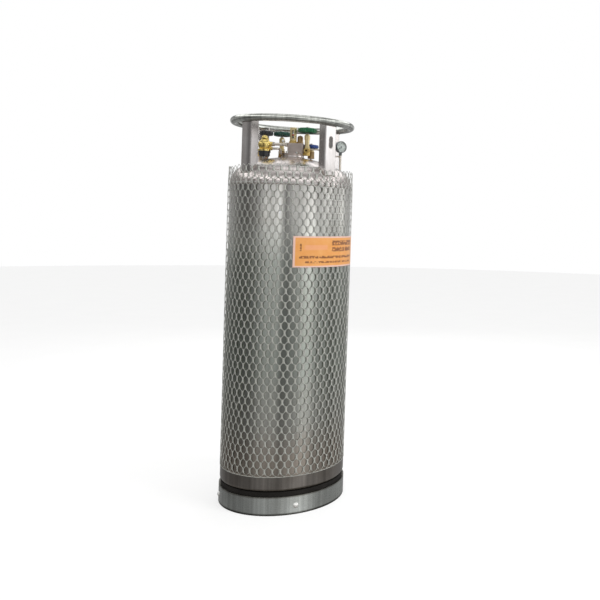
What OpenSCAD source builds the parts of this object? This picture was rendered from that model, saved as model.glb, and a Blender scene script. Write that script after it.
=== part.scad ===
// Liquid nitrogen dewar: an upright vacuum-insulated cylinder with a guard ring,
// four angle valves, a float level gauge and a pressure-building regulator.
// Millimetres. The origin is the centre of the foot ring on the floor, +Z is up,
// and the front of the dewar faces -Y. Azimuths are measured from the front
// towards +X.

/* [Vessel] */
// Outside diameter of the foot ring
foot_d = 505; // [495:5:515]
// Height from the floor to the top of the guard ring
overall_h = 1586; // [1556:10:1616]
// Thickness of the outer barrel and its heads
shell_t = 3; // [2:0.5:4]
// Outside radius of the inner vessel
inner_r = 222; // [216:1:223]
// Thickness of the inner vessel
inner_t = 2.5; // [1.5:0.5:4]

/* [Foot] */
// Height of the foot ring
foot_h = 73; // [70:1:80]
// Height of the rubber ring above the foot ring
rubber_h = 18; // [12:1:20]
// Height of the plain band round the bottom of the barrel
band_h = 59; // [50:1:70]
// Azimuth of the first foot bolt
foot_bolt_az = 18; // [0:1:45]
// Height of the foot bolts above the floor
foot_bolt_z = 35; // [32:1:40]

/* [Guard] */
// Radius of the guard ring's tube
ring_tube_r = 15; // [13:1:16]
// Radius of the guard ring's centreline
ring_r = 238; // [235:1:240]
// Distance from the axis to the outer face of a post
post_r = 234; // [230:1:235]
// Width of a post
post_w = 58; // [50:1:60]
// Depth of a post
post_d = 37; // [30:1:40]
// Width of a lifting slot
slot_w = 20; // [16:1:24]
// Height of a lifting slot
slot_h = 50; // [40:1:56]

/* [Sleeve and label] */
// Height of the sleeve's top edge
sleeve_top_z = 1400; // [1390:1:1410]
// Thickness of the sleeve
sleeve_t = 2.5; // [2:0.5:3]
// How far the sleeve stands further out at its top than at its bottom
sleeve_flare = 3.5; // [2:0.5:4]
// Azimuth of the label's middle
label_az = 46.5; // [40:0.5:50]
// Angle that the label wraps
label_wrap = 76; // [60:1:80]
// Height of the label
label_h = 124; // [100:1:130]
// Height of the label's bottom edge above the floor
label_z = 980; // [900:1:1000]

/* [Valves] */
// Distance a plug lifts when its valve is opened
valve_lift = 5; // [3:0.5:6]
// Radius of a valve stem
stem_r = 4; // [3.5:0.1:4.2]
// Radius of the 3/4-16 thread on the liquid and vent outlets
flare_thread_r = 9.525; // [9.4:0.025:9.6]
// Length of that thread
flare_thread_l = 16; // [14:1:18]
// Bore radius of the gas outlet
gas_bore_r = 12.25; // [12:0.05:12.5]
// Depth of the gas outlet's bore
gas_bore_l = 18; // [14:1:20]

/* [Gauges] */
// Radius of the pressure gauge's case
gauge_r = 25; // [24:0.5:26]
// Azimuth that the pressure gauge faces
gauge_az = 38; // [20:1:60]

/* [Hidden] */
$fn = 64;

// Clearances: between neighbours that only touch, and between parts that turn or slide
gap = 0.05;
run_gap = 0.05;
// Depth that a cutter reaches past the face it opens
cut = 1;

// Radii of the shell, from the foot ring inwards
foot_r = foot_d / 2;
foot_t = 3;
band_t = 2.4;
band_bend_r = 14;
barrel_r = foot_r - 5.5;
band_r = barrel_r + gap + band_t;
bottom_head_r = barrel_r - shell_t - gap;
sleeve_r = band_r + 1.5;

// Heights of the shell, from the floor up
rubber_z = foot_h;
band_z = rubber_z + rubber_h;
barrel_z = band_z + band_bend_r;
bottom_head_z = 190;
inner_bottom_z = 215;
sleeve_z = band_z + band_h;
seam_z = overall_h - 278;
inner_top_z = seam_z - 18;
deck_z = seam_z + 129;
ring_z = overall_h - ring_tube_r;

// Dished heads: crown and knuckle radii as shares of the shell radius
crown_k = 1.8;
knuckle_k = 0.34;
function crown_drop(r) = r * sqrt(pow(crown_k - knuckle_k, 2) - pow(1 - knuckle_k, 2));
// Rise of a head's surface above its tangent line, at a distance from the axis
function dish(r, shell_r, inset = 0) =
    let (big = crown_k * shell_r - inset, small = knuckle_k * shell_r - inset,
         centre = shell_r * (1 - knuckle_k),
         tangent = big * (1 - knuckle_k) / (crown_k - knuckle_k))
    r < tangent ? sqrt(big * big - r * r) - crown_drop(shell_r)
                : sqrt(max(0, small * small - pow(r - centre, 2)));
// A point at radius r, math angle a and height z
function polar(r, a, z) = [r * cos(a), r * sin(a), z];
// Middle of the vacuum space above the inner vessel, and below it
function top_gap_z(r) =
    (seam_z + dish(r, barrel_r, shell_t) + inner_top_z + dish(min(r, inner_r), inner_r)) / 2;
function bottom_gap_z(r) =
    (bottom_head_z - dish(r, bottom_head_r, shell_t) + inner_bottom_z
     - dish(min(r, inner_r), inner_r)) / 2;

// Foot fasteners
bolt_r = 5.9;
bolt_hole_r = 6.2;
skirt_r = foot_r - 17.5;
skirt_t = 3;
bush_r = 14;

// Guard posts
post_t = 3;
post_bend_r = 5;
slot_z = overall_h - 98;

// Coils in the vacuum space
coil_r = inner_r + 10;
coil_tube_r = 4;
coil_bore_r = 3;
coil_open_a = 18;
coil_bend_r = 8;
pressure_inlet_r = 60;
vaporiser_inlet_r = 120;
// Distances from the end of a row to the lines that leave it
pressure_run = 22;
vaporiser_run = 40;
pressure_riser_run = 50;
pressure_rows = 5;
pressure_pitch = 50;
pressure_z = 240;
vaporiser_rows = 14;
vaporiser_pitch = 55;
vaporiser_z = 500;

// Neck and manifold
neck_r = 21;
neck_bore_r = 19;
collar_r = 46;
collar_bolt_r = 39;
collar_bolt_az = [30, 150, 210, 330];
flange_h = 9;
block_x0 = -20;
block_x1 = 44;
block_y = 27;
block_z1 = deck_z + 54;
port_r = 5;

// Angle valves: body height, seat height, chamber and bonnet radii
body_r = 13.5;
seat_h = 12;
plug_h = 5;
body_h = seat_h + plug_h + valve_lift + 8;
chamber_r = 9;
bonnet_r = 12;
outlet_h = 20;
side_inlet_r = 6.5;
// Distance from a body's axis to the start of an outlet's thread or bore
spud_x = body_r + 4;
valve_foot_z = deck_z - 5;
wheel_gap = 5;
// Each valve: [x, y, foot height, bonnet height, wheel radius, wheel height, outlet azimuth]
vent_valve = [59, -15, deck_z + 3, 62, 39, 20, 0];
liquid_valve = [72, 45, valve_foot_z, 10, 31, 15, 180];
gas_valve = [-115, 38, valve_foot_z, 56, 28, 19, 270];
building_valve = [-55, 85, valve_foot_z, 60, 36, 18, 0];
valves = [vent_valve, liquid_valve, gas_valve, building_valve];
function wheel_z(v) = v[2] + body_h + v[3] + wheel_gap;
building_a = atan2(building_valve[1], building_valve[0]);

// Regulator
reg_x = -113;
reg_y = -20;
reg_z = deck_z + 41;
reg_r = 26;
reg_pipe_z = deck_z + 46;
reg_line_z = deck_z + 27;
reg_socket_l = 32;
reg_pipe_r = 6.5;
line_r = 5;
line_bore_r = 3.5;
bonnet_top_z = deck_z + 15;
bonnet_bottom_z = deck_z - 9;
disc_x = -38;

// Level gauge
sight_z = block_z1 + 12;
sight_top_z = sight_z + 55;
marker_z = sight_z + 20;
marker_h = 7;
float_rod_r = 2.5;

// Safety valve
safety_x = 28;
safety_y = 12;
safety_seat_z = block_z1 + 10;
safety_top_z = block_z1 + 34;

// Pressure gauge
gauge_x = 197;
gauge_y = 20;
gauge_z = deck_z + 50;
gauge_depth = 18;
gauge_line_z = deck_z + 33;

module at_azimuths(azimuths) {
    for (a = azimuths) rotate(a - 90) children();
}

// Area under a dished head of radius r, its surface moved inwards by inset
module head_area(r, inset = 0) {
    centre = r * (1 - knuckle_k);
    drop = crown_drop(r);
    intersection() {
        translate([0, -drop]) circle(crown_k * r - inset, $fn = 256);
        polygon([[0, 0], [centre, 0], [centre * (drop + r) / drop, r], [0, r]]);
    }
    intersection() {
        translate([centre, 0]) circle(knuckle_k * r - inset, $fn = 96);
        square(r);
    }
}

module head_wall(r, t) {
    difference() {
        head_area(r);
        head_area(r, t);
        translate([0, -cut]) square([r - t, cut]);
    }
}

// Solid filling the dewar's top head, grown by a clearance, for trimming what stands on it
module top_form(grow = gap) {
    translate([0, 0, seam_z]) rotate_extrude($fn = 128) head_area(barrel_r, -grow);
}

module ring_of(outer, inner, h) {
    difference() {
        cylinder(r = outer, h = h, $fn = 128);
        translate([0, 0, -cut]) cylinder(r = inner, h = h + 2 * cut, $fn = 128);
    }
}

module bored(r, h, bore) {
    difference() {
        cylinder(r = r, h = h);
        translate([0, 0, -cut]) cylinder(r = bore, h = h + 2 * cut);
    }
}

function unit(v) = v / norm(v);

module tube_section(r, bore) {
    difference() {
        circle(r, $fn = 32);
        circle(bore, $fn = 32);
    }
}

module straight_tube(a, b, r, bore) {
    d = b - a;
    span = norm(d);
    translate(a) rotate([0, acos(d[2] / span), atan2(d[1], d[0])])
        linear_extrude(span) tube_section(r, bore);
}

// Part of a torus that leaves the point start in the direction along, turning towards inward
module bend(start, along, inward, bend_r, angle, r, bore) {
    x = -inward;
    z = cross(x, along);
    c = start + bend_r * inward;
    multmatrix([[x[0], along[0], z[0], c[0]], [x[1], along[1], z[1], c[1]],
                [x[2], along[2], z[2], c[2]], [0, 0, 0, 1]])
        rotate_extrude(angle = angle) translate([bend_r, 0]) tube_section(r, bore);
}

// Tube through the points: straight lengths, and a brazed-on bend at each point between the ends
module bent_tube(points, bend_r, r, bore) {
    last = len(points) - 1;
    legs = [for (i = [0 : last - 1]) unit(points[i + 1] - points[i])];
    turns = [for (i = [0 : last]) i == 0 || i == last ? 0 : acos(legs[i - 1] * legs[i])];
    trims = [for (t = turns) bend_r * tan(t / 2)];
    for (i = [0 : last - 1]) straight_tube(points[i] + legs[i] * (trims[i] + gap),
        points[i + 1] - legs[i] * (trims[i + 1] + gap), r, bore);
    for (i = [1 : 1 : last - 1]) bend(points[i] - legs[i - 1] * trims[i], legs[i - 1],
        unit(legs[i] - legs[i - 1] * (legs[i - 1] * legs[i])), bend_r, turns[i], r, bore);
}

module wire_spring(r, wire, h, turns) {
    translate([0, 0, wire])
        linear_extrude(h - 2 * wire, twist = -360 * turns, slices = 14 * turns, $fn = 6)
            translate([r, 0]) circle(wire);
}

// Foot

module foot_ring() {
    color("#7d827c") difference() {
        union() {
            ring_of(foot_r, foot_r - foot_t, foot_h);
            ring_of(foot_r, foot_r - 14, foot_t);
            translate([0, 0, foot_h - foot_t]) ring_of(foot_r, foot_r - 16.5, foot_t);
        }
        at_azimuths(foot_bolt_azimuths) translate([foot_r - 10, 0, foot_bolt_z])
            rotate([0, 90, 0]) cylinder(r = bolt_hole_r, h = 20);
    }
}

foot_bolt_azimuths = [for (i = [0 : 3]) foot_bolt_az + 90 * i];

module rubber_ring() {
    color("#1c1c1c") translate([0, 0, rubber_z]) ring_of(foot_r - 6.5, foot_r - 16, rubber_h);
}

module rubber_bushes() {
    inner = skirt_r + gap;
    outer = sqrt(pow(foot_r - foot_t, 2) - bush_r * bush_r) - gap;
    color("#262626") at_azimuths(foot_bolt_azimuths)
        translate([inner, 0, foot_bolt_z]) rotate([0, 90, 0])
            bored(bush_r, outer - inner, bolt_r + gap);
}

module foot_bolts() {
    head_r = 11;
    color("#c9c9c6") at_azimuths(foot_bolt_azimuths) translate([0, 0, foot_bolt_z])
        rotate([0, 90, 0]) {
            translate([0, 0, skirt_r - 17]) cylinder(r = bolt_r, h = foot_r - skirt_r + 17 + gap);
            translate([0, 0, foot_r + gap]) intersection() {
                cylinder(r = head_r, h = 8);
                translate([0, 0, -6]) sphere(12.5);
            }
        }
}

module foot_nuts() {
    nut_r = 10.9;
    face = sqrt(pow(skirt_r - skirt_t, 2) - nut_r * nut_r) - gap;
    color("#b9b9b6") at_azimuths(foot_bolt_azimuths) translate([face - 10, 0, foot_bolt_z])
        rotate([0, 90, 0]) difference() {
            cylinder(r = nut_r, h = 10, $fn = 6);
            translate([0, 0, -cut]) cylinder(r = bolt_r + gap, h = 12);
        }
}

module inner_skirt() {
    skirt_z = 20;
    top_z = bottom_head_z - dish(skirt_r - skirt_t, bottom_head_r) - gap;
    color("#85857f") difference() {
        translate([0, 0, skirt_z]) ring_of(skirt_r, skirt_r - skirt_t, top_z - skirt_z);
        at_azimuths(foot_bolt_azimuths) translate([skirt_r - 10, 0, foot_bolt_z])
            rotate([0, 90, 0]) cylinder(r = bolt_hole_r, h = 20);
    }
}

// Outer shell

// Half section of a pan with a rounded lower corner, its surface moved inwards by inset
module pan_area(inset) {
    translate([0, band_bend_r]) square([band_r - inset, band_h - band_bend_r + (inset > 0 ? cut : 0)]);
    translate([0, inset]) square([band_r - band_bend_r, band_bend_r - inset + gap]);
    translate([band_r - band_bend_r, band_bend_r]) circle(band_bend_r - inset);
}

module base_band() {
    color("#8b867f") translate([0, 0, band_z]) rotate_extrude($fn = 128) difference() {
        pan_area(0);
        pan_area(band_t);
        translate([0, -cut]) square([skirt_r + 2 * gap, band_t + 2 * cut]);
    }
}

module bottom_head() {
    color("#8d8d89") translate([0, 0, bottom_head_z]) {
        mirror([0, 0, 1]) rotate_extrude($fn = 128) head_wall(bottom_head_r, shell_t);
        ring_of(bottom_head_r, bottom_head_r - shell_t, inner_bottom_z - bottom_head_z);
    }
}

module outer_barrel() {
    color("#a3a39f") translate([0, 0, barrel_z])
        ring_of(barrel_r, barrel_r - shell_t, seam_z - barrel_z);
}

module top_head() {
    color("#b9b0ac") difference() {
        translate([0, 0, seam_z]) rotate_extrude($fn = 128) head_wall(barrel_r, shell_t);
        translate([0, 0, seam_z]) cylinder(r = neck_r + gap, h = 150);
        for (v = [building_valve, gas_valve]) translate([v[0], v[1], seam_z])
            cylinder(r = coil_tube_r + gap, h = 150);
        translate([liquid_valve[0], liquid_valve[1], seam_z]) cylinder(r = line_r + gap, h = 150);
    }
}

module net_sleeve() {
    top_r = sleeve_r + sleeve_flare;
    color("#cfd2cf") translate([0, 0, sleeve_z]) rotate_extrude($fn = 128)
        polygon([[sleeve_r - sleeve_t, 0], [sleeve_r, 0], [top_r, sleeve_top_z - sleeve_z],
                 [top_r - sleeve_t, sleeve_top_z - sleeve_z]]);
}

module info_label() {
    inner = sleeve_r + sleeve_flare + 0.2;
    color("#e1a55f") translate([0, 0, label_z]) rotate(label_az - 90 - label_wrap / 2)
        rotate_extrude(angle = label_wrap, $fn = 128) translate([inner, 0]) square([0.8, label_h]);
}

// Guard

module guard_ring() {
    color("#a9a9a4") translate([0, 0, ring_z]) rotate_extrude($fn = 128)
        translate([ring_r, 0]) circle(ring_tube_r);
}

// Outline of a post seen from above, with rounded outer corners, its outer face at x = 0
module post_outline(grow) {
    half = post_w / 2 - grow;
    bend = post_bend_r - grow;
    depth = post_d + (grow > 0 ? cut : 0);
    translate([-depth, -half]) square([depth - grow - bend, 2 * half]);
    translate([-grow - bend - gap, bend - half]) square([bend + gap, 2 * (half - bend)]);
    for (s = [-1, 1]) translate([-grow - bend, s * (half - bend)]) circle(bend);
}

module guard_posts() {
    foot_z = seam_z + 20;
    color("#b5b1ad") for (i = [0 : 3]) difference() {
        rotate(45 + 90 * i) translate([post_r, 0, foot_z]) difference() {
            linear_extrude(ring_z - foot_z) difference() {
                post_outline(0);
                post_outline(post_t);
            }
            if (i % 2 == 1) translate([-2 * post_t, 0, slot_z - foot_z]) rotate([0, 90, 0]) {
                for (s = [-1, 1]) translate([s * (slot_h - slot_w) / 2, 0, 0])
                    cylinder(r = slot_w / 2, h = 4 * post_t);
                translate([(slot_w - slot_h) / 2, -slot_w / 2, 0])
                    cube([slot_h - slot_w, slot_w, 4 * post_t]);
            }
        }
        top_form();
        translate([0, 0, ring_z]) rotate_extrude($fn = 128)
            translate([ring_r, 0]) circle(ring_tube_r + gap);
    }
}

// Inner vessel and what hangs in the vacuum space

module inner_vessel() {
    color("#c4c4c0") difference() {
        union() {
            translate([0, 0, inner_top_z]) rotate_extrude($fn = 128) head_wall(inner_r, inner_t);
            translate([0, 0, inner_bottom_z])
                ring_of(inner_r, inner_r - inner_t, inner_top_z - inner_bottom_z);
            translate([0, 0, inner_bottom_z]) mirror([0, 0, 1])
                rotate_extrude($fn = 128) head_wall(inner_r, inner_t);
        }
        translate([0, 0, inner_top_z]) cylinder(r = neck_r + gap, h = 150);
        translate([liquid_valve[0], liquid_valve[1], inner_top_z])
            cylinder(r = line_r + gap, h = 150);
        translate([0, 0, inner_bottom_z - 150]) {
            for (inlet = [[pressure_inlet_r, pressure_run], [vaporiser_inlet_r, vaporiser_run]])
                let (p = strip_point(1, inlet[1], 0)) translate(inlet[0] * unit(p))
                    cylinder(r = coil_tube_r + gap, h = 150);
        }
    }
}

module insulation_wrap() {
    color("#d9dde0") translate([0, 0, inner_bottom_z])
        ring_of(inner_r + 5.5, inner_r + 0.5, inner_top_z - inner_bottom_z);
}

module neck_tube() {
    foot_z = inner_top_z + dish(0, inner_r) - 20;
    color("#b4b4b0") translate([0, 0, foot_z]) bored(neck_r, deck_z - gap - foot_z, neck_bore_r);
}

module support_peg() {
    low = bottom_head_z - dish(0, bottom_head_r, shell_t);
    high = inner_bottom_z - dish(0, inner_r);
    peg_r = 20;
    color("#c8b273") difference() {
        translate([0, 0, low - 5]) bored(peg_r, high - low + 10, 12);
        difference() {
            translate([0, 0, low - 20]) cylinder(r = peg_r + cut, h = 40);
            translate([0, 0, bottom_head_z]) mirror([0, 0, 1]) rotate_extrude($fn = 128)
                head_area(bottom_head_r, shell_t + gap);
        }
        translate([0, 0, inner_bottom_z]) mirror([0, 0, 1]) rotate_extrude($fn = 128)
            head_area(inner_r, -gap);
    }
}

// Places in the open strip of the coils, a distance along the tangent from either end of a row
function strip_point(side, along, z) =
    let (a = building_a + side * coil_open_a)
    polar(coil_r, a, z) + side * along * [sin(a), -cos(a), 0];

// Rows of tube round the insulation, joined end to end by brazed return bends in the open strip
module coil_rows(z0, pitch, rows) {
    open_a = coil_open_a + atan(gap / coil_r);
    for (i = [0 : rows - 1]) translate([0, 0, z0 + i * pitch])
        rotate(building_a + open_a) rotate_extrude(angle = 360 - 2 * open_a, $fn = 128)
            translate([coil_r, 0]) tube_section(coil_tube_r, coil_bore_r);
    for (i = [0 : rows - 2]) {
        side = i % 2 == 0 ? -1 : 1;
        a = building_a + side * coil_open_a;
        bend(polar(coil_r, a, z0 + i * pitch), side * [sin(a), -cos(a), 0], [0, 0, 1], pitch / 2,
             180, coil_tube_r, coil_bore_r);
    }
}

// Way from a place in the strip, between the two top heads, up to a valve
function over_dome(p, v) =
    let (r = 180, a0 = atan2(p[1], p[0]), a1 = atan2(v[1], v[0]), valve_r = norm([v[0], v[1]]))
    [[p[0], p[1], seam_z + 8], polar(r, (a0 + a1) / 2, top_gap_z(r) + 4),
     [v[0], v[1], top_gap_z(valve_r)], [v[0], v[1], v[2]]];

// Way from the inner vessel's floor, between the two bottom heads, to a place in the strip
function under_dome(inlet_r, p) =
    let (r = 180, a = atan2(p[1], p[0]))
    [polar(inlet_r, a, inner_bottom_z - dish(inlet_r, inner_r) + 6),
     polar(inlet_r, a, bottom_gap_z(inlet_r)), polar(r, a, bottom_gap_z(r)),
     [p[0], p[1], bottom_head_z - 12]];

module coil_lines(inlet_r, inlet_run, outlet_side, outlet_run, v, z0, z1) {
    foot = strip_point(1, inlet_run, z0);
    head = strip_point(outlet_side, outlet_run, z1);
    bent_tube(concat(under_dome(inlet_r, foot), [foot, strip_point(1, 0, z0)]), coil_bend_r,
              coil_tube_r, coil_bore_r);
    bent_tube(concat([strip_point(outlet_side, 0, z1), head], over_dome(head, v)), coil_bend_r,
              coil_tube_r, coil_bore_r);
}

module pressure_coil() {
    color("#b87945") {
        coil_rows(pressure_z, pressure_pitch, pressure_rows);
        coil_lines(pressure_inlet_r, pressure_run, -1, pressure_riser_run, building_valve,
                   pressure_z, pressure_z + pressure_pitch * (pressure_rows - 1));
    }
}

module vaporiser_coil() {
    color("#b87945") {
        coil_rows(vaporiser_z, vaporiser_pitch, vaporiser_rows);
        coil_lines(vaporiser_inlet_r, vaporiser_run, 1, pressure_run, gas_valve,
                   vaporiser_z, vaporiser_z + vaporiser_pitch * (vaporiser_rows - 1));
    }
}

module liquid_dip_tube() {
    color("#b5b5b0") translate([liquid_valve[0], liquid_valve[1], inner_bottom_z - 85])
        bored(line_r, liquid_valve[2] - inner_bottom_z + 85, line_bore_r);
}

// Neck

module neck_collar() {
    color("#b3aca6") difference() {
        translate([0, 0, deck_z - 12]) bored(collar_r, 12, neck_r + gap);
        top_form();
        at_azimuths(collar_bolt_az) translate([collar_bolt_r, 0, deck_z - 6.4])
            cylinder(r = 4 + gap, h = 10);
    }
}

module manifold_block() {
    block_h = block_z1 - deck_z;
    soft = 4;
    color("#b9a49b") difference() {
        union() {
            translate([0, 0, deck_z]) cylinder(r = collar_r, h = flange_h);
            translate([block_x0, -block_y + soft, deck_z])
                cube([block_x1 - block_x0, 2 * (block_y - soft), block_h]);
            translate([block_x0 + soft, -block_y, deck_z])
                cube([block_x1 - block_x0 - 2 * soft, 2 * block_y, block_h]);
            for (x = [block_x0 + soft, block_x1 - soft], y = [soft - block_y, block_y - soft])
                translate([x, y, deck_z]) cylinder(r = soft, h = block_h);
        }
        translate([0, 0, deck_z - cut]) cylinder(r = port_r, h = block_h + 2 * cut);
        translate([safety_x, safety_y, deck_z + 33]) cylinder(r = port_r, h = block_h);
        translate([block_x0 - cut, reg_y, reg_pipe_z]) rotate([0, 90, 0])
            cylinder(r = port_r - 0.5, h = 24);
        translate([0, reg_y, reg_pipe_z]) rotate([-90, 0, 0]) cylinder(r = port_r - 0.5, h = 20);
        translate([0, vent_valve[1], vent_valve[2] + 6]) rotate([0, 90, 0])
            cylinder(r = port_r - 0.5, h = 60);
        translate([0, vent_valve[1], vent_valve[2] + 6]) rotate([-90, 0, 0])
            cylinder(r = port_r - 0.5, h = 15);
        // Room for the vent valve's inlet over the flange
        translate([block_x1 + gap / 2, vent_valve[1], vent_valve[2] + 6]) rotate([0, 90, 0])
            cylinder(r = side_inlet_r + gap, h = 6);
        translate([0, safety_y - 4, gauge_line_z]) rotate([0, 90, 0]) cylinder(r = 2.5, h = 60);
        at_azimuths(collar_bolt_az) translate([collar_bolt_r, 0, deck_z - cut])
            cylinder(r = 4 + 3 * gap, h = flange_h + 2 * cut);
    }
}

module manifold_bolts() {
    color("#d2d2ce") at_azimuths(collar_bolt_az) translate([collar_bolt_r, 0, deck_z])
        difference() {
            union() {
                translate([0, 0, -6]) cylinder(r = 4, h = flange_h + 7);
                translate([0, 0, flange_h + gap]) cylinder(r = 6.2, h = 8);
            }
            translate([0, 0, flange_h + 4]) cylinder(r = 3.4, h = 5, $fn = 6);
        }
}

// Level gauge

module gauge_base() {
    color("#c9a65a") translate([0, 0, block_z1]) difference() {
        union() {
            cylinder(r = 17, h = 8, $fn = 6);
            cylinder(r = 14, h = sight_z - block_z1);
        }
        translate([0, 0, -cut]) cylinder(r = float_rod_r + 2 * run_gap, h = 20);
    }
}

module sight_tube() {
    color("#e8f0f0") translate([0, 0, sight_z]) bored(11, sight_top_z - sight_z - 4, 9.5);
}

module sight_guard() {
    h = sight_top_z - sight_z;
    color("#e2cf95") translate([0, 0, sight_z]) difference() {
        cylinder(r = 14, h = h);
        translate([0, 0, -cut]) cylinder(r = 11 + gap, h = h - 3 + cut);
        translate([-4, -20, 8]) cube([8, 40, h - 20]);
    }
}

module level_float() {
    float_top_z = inner_top_z - 400;
    color("#d8d8d8") {
        translate([0, 0, float_top_z - 600]) cylinder(r = 15, h = 600);
        translate([0, 0, float_top_z]) cylinder(r = float_rod_r, h = marker_z + 9 - float_top_z);
    }
}

module level_spring() {
    wire = 0.5;
    color("#9a9a9a") translate([0, 0, sight_z + wire + gap])
        wire_spring(5, wire, marker_z - sight_z - 2 * (wire + gap), 5);
}

module level_marker() {
    color("#c8402c") translate([0, 0, marker_z]) bored(7, marker_h, float_rod_r + gap);
}

// Valves

module at_valve(v) {
    translate([v[0], v[1], v[2]]) children();
}

// Angle valve body: seat and chamber, fed from below, or from the side towards the manifold
module valve_body(v, side_inlet = false) {
    difference() {
        union() {
            cylinder(r = body_r, h = body_h);
            rotate(30) cylinder(r = 15.5, h = 10, $fn = 6);
            rotate(v[6] - 90) children(0);
            if (side_inlet) translate([block_x1 + gap - v[0], 0, 6]) rotate([0, 90, 0])
                cylinder(r = side_inlet_r, h = v[0] - block_x1 - gap);
        }
        translate([0, 0, seat_h]) cylinder(r = chamber_r, h = body_h);
        translate([0, 0, side_inlet ? 6 : -cut]) cylinder(r = port_r, h = seat_h + 2 * cut);
        if (side_inlet) translate([block_x1 - v[0] - cut, 0, 6]) rotate([0, 90, 0])
            cylinder(r = port_r - 0.5, h = v[0] - block_x1 + cut);
        rotate(v[6] - 90) children(1);
    }
}

// Threaded flare outlet, along +X from the body's axis
module flare_spud() {
    hex_x = bonnet_r + gap;
    translate([0, 0, outlet_h]) rotate([0, 90, 0]) {
        cylinder(r = flare_thread_r, h = spud_x + flare_thread_l);
        translate([0, 0, hex_x]) cylinder(r = 12, h = spud_x - hex_x, $fn = 6);
    }
}

module flare_bore() {
    translate([0, 0, outlet_h]) rotate([0, 90, 0]) cylinder(r = 5, h = 60);
}

// Female gas outlet, along +X from the body's axis
module gas_spud() {
    translate([bonnet_r + gap, 0, outlet_h - 4]) rotate([0, 90, 0])
        cylinder(r = 16, h = spud_x + gas_bore_l - bonnet_r - gap);
}

module gas_bore() {
    translate([0, 0, outlet_h - 4]) rotate([0, 90, 0]) {
        cylinder(r = 4, h = 60);
        translate([0, 0, spud_x]) cylinder(r = gas_bore_r, h = 60);
    }
}

// Plain outlet socket that a line is brazed to
module line_spud() {
    translate([0, 0, outlet_h]) rotate([0, 90, 0]) cylinder(r = 8, h = body_r + 10);
}

module line_bore() {
    translate([0, 0, outlet_h]) rotate([0, 90, 0]) cylinder(r = 4, h = 60);
}

module valve_plug(v) {
    at_valve(v) translate([0, 0, seat_h + gap]) difference() {
        cylinder(r = 7.5, h = plug_h);
        translate([0, 0, 2]) cylinder(r = 3 + run_gap, h = plug_h);
    }
}

// Stem, swivelled in the plug, and the nut that holds the wheel
module valve_stem(v) {
    hub_top = wheel_z(v) - v[2] + v[5];
    at_valve(v) {
        translate([0, 0, seat_h + 2.2]) cylinder(r = 3, h = 6);
        translate([0, 0, seat_h + 7]) cylinder(r = stem_r, h = hub_top + 6 - seat_h - 7);
        translate([0, 0, hub_top + gap]) difference() {
            cylinder(r = 7.5, h = 4.5, $fn = 6);
            translate([0, 0, -cut]) cylinder(r = stem_r + gap, h = 8);
        }
    }
}

module valve_bonnet(v) {
    low_h = min(10, v[3] - 4);
    at_valve(v) translate([0, 0, body_h]) difference() {
        union() {
            cylinder(r = bonnet_r, h = low_h, $fn = 6);
            cylinder(r = 9.5, h = v[3] - 4);
            translate([0, 0, v[3] > 20 ? v[3] - 24 : low_h]) cylinder(r = 11.5,
                h = v[3] > 20 ? 18 : 0.5);
            cylinder(r = 7.5, h = v[3]);
        }
        translate([0, 0, -cut]) cylinder(r = stem_r + run_gap, h = v[3] + 2 * cut);
    }
}

module handwheel(v, lobes) {
    r = v[4];
    h = v[5];
    rim = 5;
    scallop = 7;
    translate([v[0], v[1], wheel_z(v)]) difference() {
        union() {
            cylinder(r = 9, h = h);
            translate([0, 0, h / 2 - 1]) cylinder(r = r - rim, h = 4);
            rotate_extrude() {
                translate([r - 2 * rim, rim]) square([2 * rim, h - 2 * rim]);
                for (z = [rim, h - rim]) translate([r - rim, z]) circle(rim, $fn = 32);
            }
        }
        translate([0, 0, -cut]) cylinder(r = stem_r + gap, h = h + 2 * cut);
        for (i = [0 : lobes - 1]) rotate(360 * i / lobes) {
            translate([r + scallop - 3, 0, -cut]) cylinder(r = scallop, h = h + 2 * cut);
            translate([(r + 1) / 2, 0, 0]) rotate(180 / lobes) cylinder(r = 3, h = h);
        }
    }
}

module vent_valve_body() {
    color("#b98d4f") at_valve(vent_valve) valve_body(vent_valve, true) {
        flare_spud();
        flare_bore();
    }
}
module vent_valve_plug() { color("#c8a878") valve_plug(vent_valve); }
module vent_valve_stem() { color("#cfcfcb") valve_stem(vent_valve); }
module vent_valve_wheel() { color("#1f8a4c") handwheel(vent_valve, 8); }

module liquid_valve_body() {
    color("#8f8a72") at_valve(liquid_valve) valve_body(liquid_valve) {
        flare_spud();
        flare_bore();
    }
}
module liquid_valve_plug() { color("#c8a878") valve_plug(liquid_valve); }
module liquid_valve_stem() { color("#cfcfcb") valve_stem(liquid_valve); }
module liquid_valve_wheel() { color("#1c4fa0") handwheel(liquid_valve, 7); }

module gas_valve_body() {
    color("#c39a4e") at_valve(gas_valve) valve_body(gas_valve) {
        gas_spud();
        gas_bore();
    }
}
module gas_valve_plug() { color("#c8a878") valve_plug(gas_valve); }
module gas_valve_stem() { color("#cfcfcb") valve_stem(gas_valve); }
module gas_valve_wheel() { color("#1d1f24") handwheel(gas_valve, 6); }

module building_valve_body() {
    color("#8c7440") at_valve(building_valve) valve_body(building_valve) {
        line_spud();
        line_bore();
    }
}
module building_valve_plug() { color("#c8a878") valve_plug(building_valve); }
module building_valve_stem() { color("#cfcfcb") valve_stem(building_valve); }
module building_valve_wheel() { color("#26594a") handwheel(building_valve, 8); }

module valve_bonnets() {
    color("#dcc88a") for (v = valves) valve_bonnet(v);
}

// Pressure-building regulator

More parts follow.
